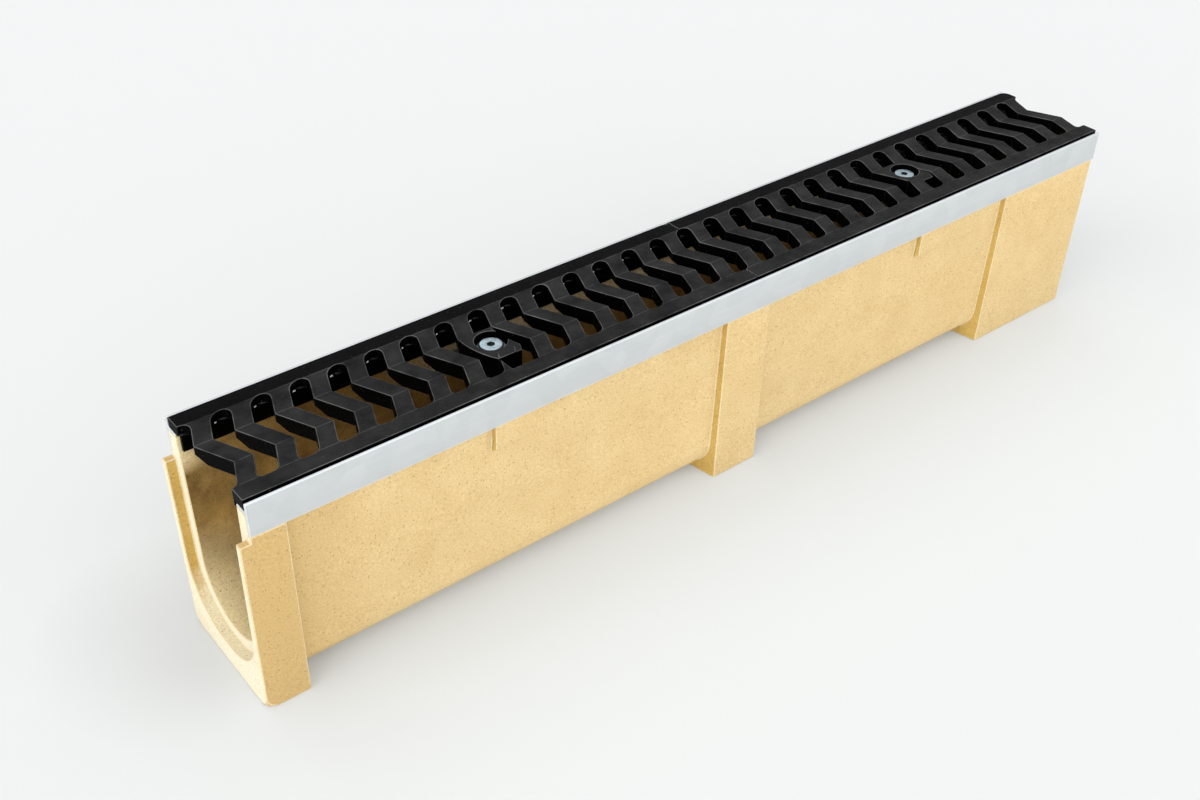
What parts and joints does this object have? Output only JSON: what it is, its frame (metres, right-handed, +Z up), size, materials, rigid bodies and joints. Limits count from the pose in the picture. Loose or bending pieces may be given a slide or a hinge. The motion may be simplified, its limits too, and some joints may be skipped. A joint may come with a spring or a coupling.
{
  "type": "channel drain",
  "caption": "Line drain channel of polymer concrete with steel edge rails and bolted cast gratings that have zigzag slots.",
  "frame": {"origin": "on the floor under the middle of the channel, below the joint between the two gratings", "axes": "+X along the channel from the socket end to the tongue end, +Z up"},
  "size_m": [1.0142, 0.131, 0.21],
  "materials": {
    "concrete": "sand-coloured polymer concrete, matte and finely speckled",
    "rail_steel": "hot-dip galvanised, satin",
    "iron": "black dip-coated casting, matte",
    "zinc": "bright zinc plating",
    "bar_steel": "galvanised bar"
  },
  "bodies": {
    "root": {"channel_body": "concrete", "edge_rail_front": "rail_steel", "edge_rail_back": "rail_steel", "grating_near": "iron", "grating_far": "iron", "bolt_near": "zinc", "washer_near": "zinc", "crossbar_near": "bar_steel", "nut_near": "zinc", "bolt_far": "zinc", "washer_far": "zinc", "crossbar_far": "bar_steel", "nut_far": "zinc"}
  },
  "joints": []
}
